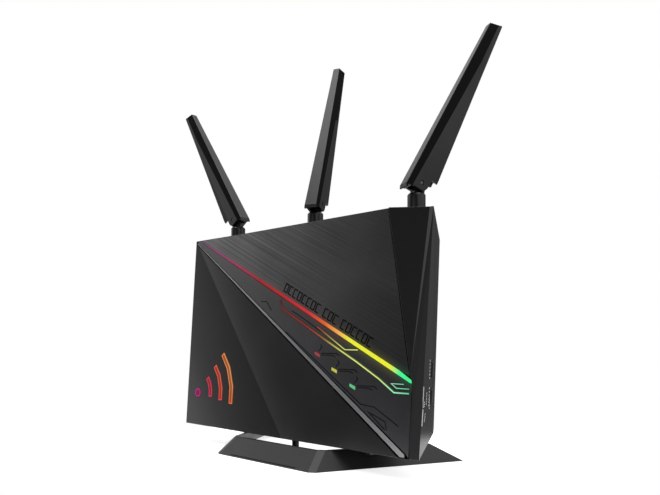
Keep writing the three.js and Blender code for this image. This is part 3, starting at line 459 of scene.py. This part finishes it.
def shading_nodes():
    """Clears the imported normals and marks edges sharper than a limit, so that round parts shade round."""
    group = bpy.data.node_groups.new("round_shading", "GeometryNodeTree")
    socket = group.interface.new_socket
    socket("Geometry", in_out="INPUT", socket_type="NodeSocketGeometry")
    socket("Limit", in_out="INPUT", socket_type="NodeSocketFloat")
    socket("Geometry", in_out="OUTPUT", socket_type="NodeSocketGeometry")
    start = group.nodes.new("NodeGroupInput")
    end = group.nodes.new("NodeGroupOutput")
    clean = group.nodes.new("GeometryNodeRemoveAttribute")
    clean.inputs["Name"].default_value = "custom_normal"
    smooth = group.nodes.new("GeometryNodeSetShadeSmooth")
    smooth.domain = "FACE"
    sharp = group.nodes.new("GeometryNodeSetShadeSmooth")
    sharp.domain = "EDGE"
    sharp.inputs["Shade Smooth"].default_value = False
    angle = group.nodes.new("GeometryNodeInputMeshEdgeAngle")
    compare = group.nodes.new("FunctionNodeCompare")
    for source, target in (
        (start.outputs["Geometry"], clean.inputs["Geometry"]),
        (clean.outputs["Geometry"], smooth.inputs["Geometry"]),
        (smooth.outputs["Geometry"], sharp.inputs["Geometry"]),
        (angle.outputs["Unsigned Angle"], compare.inputs["A"]),
        (start.outputs["Limit"], compare.inputs["B"]),
        (compare.outputs["Result"], sharp.inputs["Selection"]),
        (sharp.outputs["Geometry"], end.inputs["Geometry"]),
    ):
        group.links.new(source, target)
    return group


SHADING = shading_nodes()


BEVEL_LIMIT = math.radians(28)


def soften(obj, width, smooth_below=30):
    """Small rounded edges, in mm, and smooth shading of corners below a limit in degrees."""
    weld = obj.modifiers.new("join", "WELD")
    weld.merge_threshold = 0.002 * MM
    flat = obj.modifiers.new("merge_flats", "DECIMATE")
    flat.decimate_type = "DISSOLVE"
    flat.angle_limit = math.radians(0.1)
    if width:
        bevel = obj.modifiers.new("edges", "BEVEL")
        bevel.width = width * MM
        bevel.segments = 2
        bevel.limit_method = "ANGLE"
        bevel.angle_limit = BEVEL_LIMIT
        bevel.use_clamp_overlap = False
    shade = obj.modifiers.new("shade", "NODES")
    shade.node_group = SHADING
    shade["Socket_1"] = math.radians(smooth_below)


FLAT = 0.25
soften(NODES["front_cover"], 0.25, FLAT)
soften(NODES["rear_cover"], 0.3, 20)
soften(NODES["stand_frame"], 0.35, 12)
soften(NODES["trim_strip"], 0.08, FLAT)
soften(NODES["brushed_panel"], 0.06, FLAT)
soften(NODES["circuit_band"], 0.06, FLAT)
for side in ("left", "middle", "right"):
    soften(NODES[f"antenna_{side}_blade"], 0.3, 16)
    soften(NODES[f"antenna_{side}_base"], 0.15)
    soften(NODES[f"antenna_{side}_connector"], 0.1)
    soften(NODES[f"antenna_{side}_pin"], 0.15)
    soften(NODES[f"antenna_{side}_lead"], 0, 50)
for name in ("power_button", "reset_button", "wps_button", "light_button"):
    soften(NODES[name], 0.2)
for name in (
    "lan_jack_block", "wan_jack", "dc_jack", "usb_divider", "usb3_port", "usb2_port", "heatsink",
    "rf_shield_left", "rf_shield_centre", "rf_shield_right", "stand_screw_left", "stand_screw_right",
    "case_screw_1", "case_screw_2", "case_screw_3", "case_screw_4", "stand_pad_front", "stand_pad_back",
):
    soften(NODES[name], 0.12)


# ------------------------------------------------------ pieces on the face

FOOT_Z = 16

# Depths in mm, negative where proud of the surface, that printed, etched and lit lines run between.
PRINT = (-0.08, 0.05)
ETCH = (-0.12, 0.05)
CORE = (-0.22, 0.1)


def on_face(x, v, depth):
    """A point of the leaning front: x across, v up it and depth behind it, in mm."""
    y = depth * math.cos(LEAN) + v * math.sin(LEAN)
    z = FOOT_Z + v * math.cos(LEAN) - depth * math.sin(LEAN)
    return Vector((x, y, z)) * MM


def mitre(into, out):
    """How far and which way the corner between two directions moves per mm of width, to the left."""
    along = (into + out).normalized()
    return Vector((-along.y, along.x)) / max(along.dot(out), 0.4)


def ribbon(bm, points, half, low, high, place=on_face, closed=False):
    """A flat bar of even width along a line of (x, v) points, between two depths."""
    count = len(points)
    rings = []
    for index in range(count):
        here = Vector(points[index])
        before = Vector(points[index - 1]) if closed or index else None
        after = Vector(points[(index + 1) % count]) if closed or index < count - 1 else None
        into = (here - before).normalized() if before else (after - here).normalized()
        out = (after - here).normalized() if after else into
        side = mitre(into, out) * half
        corners = ((here + side, low), (here + side, high), (here - side, high), (here - side, low))
        rings.append([bm.verts.new(place(*at, depth)) for at, depth in corners])
    for index in range(count if closed else count - 1):
        ring, following = rings[index], rings[(index + 1) % count]
        for k in range(4):
            bm.faces.new((ring[k], ring[(k + 1) % 4], following[(k + 1) % 4], following[k]))
    if not closed:
        bm.faces.new(rings[0])
        bm.faces.new(reversed(rings[-1]))


def slab(bm, corners, low, high, place=on_face):
    """A flat convex plate with the given (x, v) corners, between two depths."""
    front = [bm.verts.new(place(*corner, low)) for corner in corners]
    back = [bm.verts.new(place(*corner, high)) for corner in corners]
    bm.faces.new(front)
    bm.faces.new(reversed(back))
    for k in range(len(corners)):
        following = (k + 1) % len(corners)
        bm.faces.new((front[k], back[k], back[following], front[following]))


def piece(name, bm, look):
    """Turns the mesh into a piece of the housing."""
    bmesh.ops.recalc_face_normals(bm, faces=bm.faces)
    mesh = bpy.data.meshes.new(name)
    bm.to_mesh(mesh)
    bm.free()
    mesh.materials.append(mats[look])
    obj = link(bpy.data.objects.new(name, mesh))
    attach(obj, ROOT)
    return obj


def light_line(x):
    return LINE_MIDDLE_V - LINE_FALL * x


def add_hatching():
    """A row of slanted frames above the light line, in three groups; two in three have an open side."""
    bm = bmesh.new()
    count, start_x, clear, half_line = 17, -7, 4.4, 0.46
    width, lean, height, pitch = 3.5, 3, 6, 5.3
    gap_before = (8, 11)
    drop = width * LINE_FALL
    x = start_x
    for index in range(count):
        if index in gap_before:
            x += pitch * 0.6
        v = light_line(x) + clear
        foot, head = (x, v), (x + lean, v + height)
        foot_end, head_end = (x + width, v - drop), (x + width + lean, v + height - drop)
        corners = [head_end, head, foot, foot_end]
        if index % 3 == 0:
            corners = [foot_end, foot, head, head_end, foot_end]
        ribbon(bm, corners, half_line, -0.14, 0.05)
        x += pitch
    piece("hatching", bm, "ink")


def add_traces():
    """Etched circuit lines on the slate band, thinner than the light lines."""
    bm = bmesh.new()
    lines = [
        [(-34.6, 112.7), (-27.6, 112.4), (-21, 104.8)],
        [(-1.4, 86.5), (81.6, 33.6), (94, 32.6), (115.9, 21)],
        [(90.6, 28.1), (104.2, 23.2), (105.7, 17.7)],
        [(88.1, 29.3), (99.6, 20.9), (104.5, 17.6)],
        [(4, 103.6), (12, 100), (38, 86.6)],
    ]
    for x, v in ((35.1, 68.7), (53.8, 57.1), (72.6, 45.8)):
        lines.append([(x + 4.4, v + 1), (x + 20.3, v + 1.2), (x + 23.2, v - 0.6)])
        lines.append([(x + 4.4, v - 0.4), (x + 15, v - 0.2), (x + 19, v - 1.4)])
        lines.append([(x + 1.6, v + 2.6), (x + 4.7, v + 5.6), (x + 3.4, v + 7.6)])
    for line in lines:
        ribbon(bm, line, 0.32, *ETCH)
    piece("etched_traces", bm, "etch")


def add_cores():
    """The bright middles of the thin light lines."""
    bm = bmesh.new()
    lower_branch = [
        (-8.6, 109.2), (-7.4, 105.8), (41.1, 81), (76, 63.9), (97.2, 52.6), (110.8, 43.8), (123.4, 43.8)]
    upper_branch = [(33.6, 90.3), (63.7, 72.8), (76.4, 72.8)]
    tail = [(118.8, 49.9), (108.2, 49.9), (112.8, 46.9), (123.4, 46.9)]
    for line, half in ((lower_branch, 0.42), (upper_branch, 0.3), (tail, 0.26)):
        ribbon(bm, line, half, *CORE)
    piece("light_cores", bm, "core")


def off_face(co):
    """The x, v and depth in mm of a point, the reverse of on_face."""
    y, z = co.y / MM, co.z / MM - FOOT_Z
    v = y * math.sin(LEAN) + z * math.cos(LEAN)
    depth = y * math.cos(LEAN) - z * math.sin(LEAN)
    return round(co.x / MM, 3), round(v, 3), depth


def outline_of(node):
    """The (x, v) corners of a face piece's front, in order, and the front's depth."""
    mesh = NODES[node].data
    points = [off_face(vertex.co) for vertex in mesh.vertices]
    front, back = min(depth for _, _, depth in points), max(depth for _, _, depth in points)
    edges = set()
    for polygon in mesh.polygons:
        ring = [points[index] for index in polygon.vertices]
        if any(depth > (front + back) / 2 for _, _, depth in ring):
            continue
        for first, second in zip(ring, ring[1:] + ring[:1]):
            edge = (first[:2], second[:2])
            if edge[::-1] in edges:
                edges.remove(edge[::-1])
            else:
                edges.add(edge)
    following = dict(edges)
    start = min(following)
    loop = [start]
    while following[loop[-1]] != start:
        loop.append(following[loop[-1]])
    return loop, front


def inset(loop, distance):
    """The same closed outline, moved inwards."""
    area = sum(a[0] * b[1] - b[0] * a[1] for a, b in zip(loop, loop[1:] + loop[:1]))
    turn = 1 if area > 0 else -1
    moved = []
    for index, point in enumerate(loop):
        here = Vector(point)
        into = (here - Vector(loop[index - 1])).normalized()
        out = (Vector(loop[(index + 1) % len(loop)]) - here).normalized()
        moved.append(tuple(here + mitre(into, out) * turn * distance))
    return moved


def add_emblem_lines():
    """Bright borders on the emblem's pieces."""
    for name in sorted(NODES):
        if name.startswith("emblem_") and name != "emblem_light_board":
            bm = bmesh.new()
            loop, front = outline_of(name)
            ribbon(bm, inset(loop, 0.5), 0.42, front - 0.1, front + 0.3, closed=True)
            piece(name + "_border", bm, "emblem_line")


add_hatching()
add_traces()
add_cores()
add_emblem_lines()


# ------------------------------------------------------- marks on the side

def wall_surface():
    """The outer surface of the two covers, to be searched with rays from the right."""
    points, faces = [], []
    for name in ("front_cover", "rear_cover"):
        mesh = NODES[name].data
        start = len(points)
        points.extend(vertex.co.copy() for vertex in mesh.vertices)
        faces.extend([start + index for index in polygon.vertices] for polygon in mesh.polygons)
    return BVHTree.FromPolygons(points, faces)


WALL = wall_surface()


def on_wall(y, z, depth):
    """A point of the right side wall: y back, z up and depth into it, in mm."""
    outside = Vector((200, y, z)) * MM
    place, normal, _, _ = WALL.ray_cast(outside, -Vector(X_AXIS))
    return place - normal * depth * MM


def add_side_marks():
    """Generic fine print on the side: short bars in columns, no lettering."""
    bm = bmesh.new()
    long_marks = [((7.2, 64.7), (6.6, 54.6)), ((7, 49.5), (5.8, 38.4))]
    for foot, head in long_marks:
        ribbon(bm, [foot, head], 0.75, *PRINT, on_wall)
    for index in range(3):
        z = 53.6 - index * 1.4
        ribbon(bm, [(6.2, z), (10.4, z + 0.6)], 0.28, *PRINT, on_wall)
    columns = [((14.3, 60.2), (13.5, 51.2), 5), ((12, 46.3), (10.6, 40.1), 4), ((20.2, 57), (20.8, 47.7), 5)]
    for head, foot, count in columns:
        for index in range(count):
            part = index / count
            y = head[0] + (foot[0] - head[0]) * part
            z = head[1] + (foot[1] - head[1]) * part
            ribbon(bm, [(y, z), (y - 0.1, z - 1.2)], 0.5, *PRINT, on_wall)
    for button in ("wps_button", "light_button"):
        low, high = (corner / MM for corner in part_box(button))
        marks = 6
        for index in range(marks):
            z = low.z + (high.z - low.z) * index / marks
            ribbon(bm, [(low.y - 1.6, z), (low.y - 1.7, z + 1.3)], 0.55, *PRINT, on_wall)
    piece("side_marks", bm, "print")


add_side_marks()


# -------------------------------------------------------------- rear parts

BACK_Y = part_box("rear_cover")[1].y / MM
PORT_Z = (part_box("wan_jack")[0].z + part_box("wan_jack")[1].z) / 2 / MM


def on_back(x, z, depth):
    """A point of the flat back: x across, z up and depth in from it, in mm."""
    return Vector((x, BACK_Y - depth, z)) * MM


def middle_x(node):
    low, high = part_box(node)
    return (low.x + high.x) / 2 / MM


def bar(bm, low, high):
    """A box between two corners, in mm."""
    slab(bm, [(low[0], low[2]), (high[0], low[2]), (high[0], high[2]), (low[0], high[2])],
         BACK_Y - high[1], BACK_Y - low[1], on_back)


LAN_CENTRE = middle_x("lan_jack_block")
LAN_PITCH = 14
LAN_MOUTHS = [LAN_CENTRE + (index - 1.5) * LAN_PITCH for index in range(4)]


def add_jack_contacts():
    """Eight slanted spring contacts in each network socket."""
    bm = bmesh.new()
    pitch, width, thick = 1.02, 0.4, 0.3
    ends = ((BACK_Y - 1.6, PORT_Z - 3.1), (BACK_Y - 9.5, PORT_Z - 0.2))
    for x in LAN_MOUTHS + [middle_x("wan_jack")]:
        for index in range(8):
            left = x + (index - 3.5) * pitch - width / 2
            first, second = (
                [bm.verts.new(Vector((left + dx, y, z + dz)) * MM)
                 for dx, dz in ((0, 0), (width, 0), (width, thick), (0, thick))]
                for y, z in ends)
            bm.faces.new(first)
            bm.faces.new(reversed(second))
            for k in range(4):
                bm.faces.new((first[k], second[k], second[(k + 1) % 4], first[(k + 1) % 4]))
    piece("jack_contacts", bm, "gold")


def add_usb_tongues():
    """The tongue of each USB socket with its four contacts."""
    for name, look in (("usb3_port", "blue"), ("usb2_port", "ivory")):
        x = middle_x(name)
        bm = bmesh.new()
        bar(bm, (x - 1.9, BACK_Y - 11, PORT_Z - 5.6), (x - 0.1, BACK_Y - 1.4, PORT_Z + 5.6))
        tongue = piece(name + "_tongue", bm, look)
        soften(tongue, 0.2)
        bm = bmesh.new()
        for index in range(4):
            z = PORT_Z + (index - 1.5) * 2.4
            bar(bm, (x - 0.1, BACK_Y - 9, z - 0.55), (x + 0.1, BACK_Y - 2, z + 0.55))
        piece(name + "_contacts", bm, "gold")


def add_rear_marks():
    """Small generic marks above the sockets: one to four dots, and short dashes."""
    bm = bmesh.new()
    height = PORT_Z + 12
    flush = (-0.05, 0.05)
    for number, x in enumerate(LAN_MOUTHS, start=1):
        for index in range(number):
            dot = x + (index - (number - 1) / 2) * 1.9
            ribbon(bm, [(dot - 0.45, height), (dot + 0.45, height)], 0.45, *flush, on_back)
    for node in ("wan_jack", "usb3_port", "usb2_port", "dc_jack", "power_button", "reset_button"):
        x = middle_x(node)
        ribbon(bm, [(x - 1.6, height), (x + 1.6, height)], 0.4, *flush, on_back)
    left, right = LAN_MOUTHS[0] - 6, LAN_MOUTHS[-1] + 6
    low, high = height - 1.6, height + 2.6
    ribbon(bm, [(left, low), (left, high), (right, high), (right, low)], 0.22, *flush, on_back)
    piece("rear_marks", bm, "print")


def add_wan_rim():
    """A thin coloured rim round the wide-area network socket."""
    left, right = middle_x("wan_jack") - 8.6, middle_x("wan_jack") + 8.6
    low, high = PORT_Z - 8.1, PORT_Z + 8.1
    corners = [(left, low), (right, low), (right, high), (left, high)]
    bm = bmesh.new()
    ribbon(bm, corners, 0.25, -0.08, 0.1, on_back, closed=True)
    piece("wan_rim", bm, "blue")


add_jack_contacts()
add_usb_tongues()
add_rear_marks()
add_wan_rim()


# --------------------------------------------------------- stage and lights

FLOOR_RADIUS = 0.19
FLOOR_PLACE = (0.0, 0.03, -0.0002)

# How bright the surroundings are by direction, from the front (-1) to the back (1).
WORLD_LEVELS = (
    (-1, 0.62), (-0.965, 0.5), (-0.925, 0.26), (-0.84, 0.13), (-0.75, 0.2), (-0.65, 0.44), (-0.56, 0.78),
    (-0.45, 1.0), (0.6, 1.0), (0.9, 0.3), (1, 0.2),
)


def add_stage():
    """A plain pale floor disc under the stand, close to the white of the surroundings."""
    look = Look("floor", Roughness=0.7, Specular_IOR_Level=0.1, Emission_Strength=0.7)
    look.shader.inputs["Emission Color"].default_value = (1, 1, 1, 1)
    tone = look.noise(3, 3)
    look.feed("Base Color", look.ramp(tone, [(0.2, (0.86, 0.86, 0.86)), (0.8, (0.9, 0.9, 0.9))]))
    bm = bmesh.new()
    bmesh.ops.create_circle(bm, cap_ends=True, segments=96, radius=FLOOR_RADIUS)
    mesh = bpy.data.meshes.new("floor")
    bm.to_mesh(mesh)
    bm.free()
    mesh.materials.append(look.material)
    floor = link(bpy.data.objects.new("floor", mesh))
    floor.location = FLOOR_PLACE


def add_world():
    """White all round for the camera, but darker in front, so that the face shades off to the right."""
    world = bpy.data.worlds.new("studio")
    world.use_nodes = True
    bpy.context.scene.world = world
    nodes, links = world.node_tree.nodes, world.node_tree.links
    background = nodes["Background"]
    direction = nodes.new("ShaderNodeTexCoord").outputs["Generated"]
    split = nodes.new("ShaderNodeSeparateXYZ")
    links.new(direction, split.inputs[0])
    place = nodes.new("ShaderNodeMapRange")
    place.inputs["From Min"].default_value = -1
    links.new(split.outputs["Y"], place.inputs["Value"])
    shade = nodes.new("ShaderNodeValToRGB")
    links.new(place.outputs[0], shade.inputs[0])
    elements = shade.color_ramp.elements
    while len(elements) < len(WORLD_LEVELS):
        elements.new(0.5)
    for element, (y, level) in zip(elements, WORLD_LEVELS):
        element.position = (y + 1) / 2
        element.color = (level, level, level, 1)
    path = nodes.new("ShaderNodeLightPath")
    strength = nodes.new("ShaderNodeMath")
    strength.operation = "MAXIMUM"
    links.new(path.outputs["Is Camera Ray"], strength.inputs[0])
    links.new(shade.outputs[0], strength.inputs[1])
    links.new(strength.outputs[0], background.inputs["Strength"])
    background.inputs["Color"].default_value = (1, 1, 1, 1)


def add_area(name, location, target, size, power):
    """A soft rectangular lamp that faces a target."""
    data = bpy.data.lights.new(name, "AREA")
    data.shape = "RECTANGLE"
    data.size, data.size_y = size
    data.energy = power
    lamp = link(bpy.data.objects.new(name, data))
    lamp.location = location
    lamp.rotation_euler = (Vector(target) - Vector(location)).to_track_quat("-Z", "Y").to_euler()


add_stage()
add_world()
add_area("top_light", (0.1, -0.2, 1.6), (0, 0, 0.1), (1.6, 1.2), 14)
bpy.context.scene.view_settings.view_transform = "Standard"
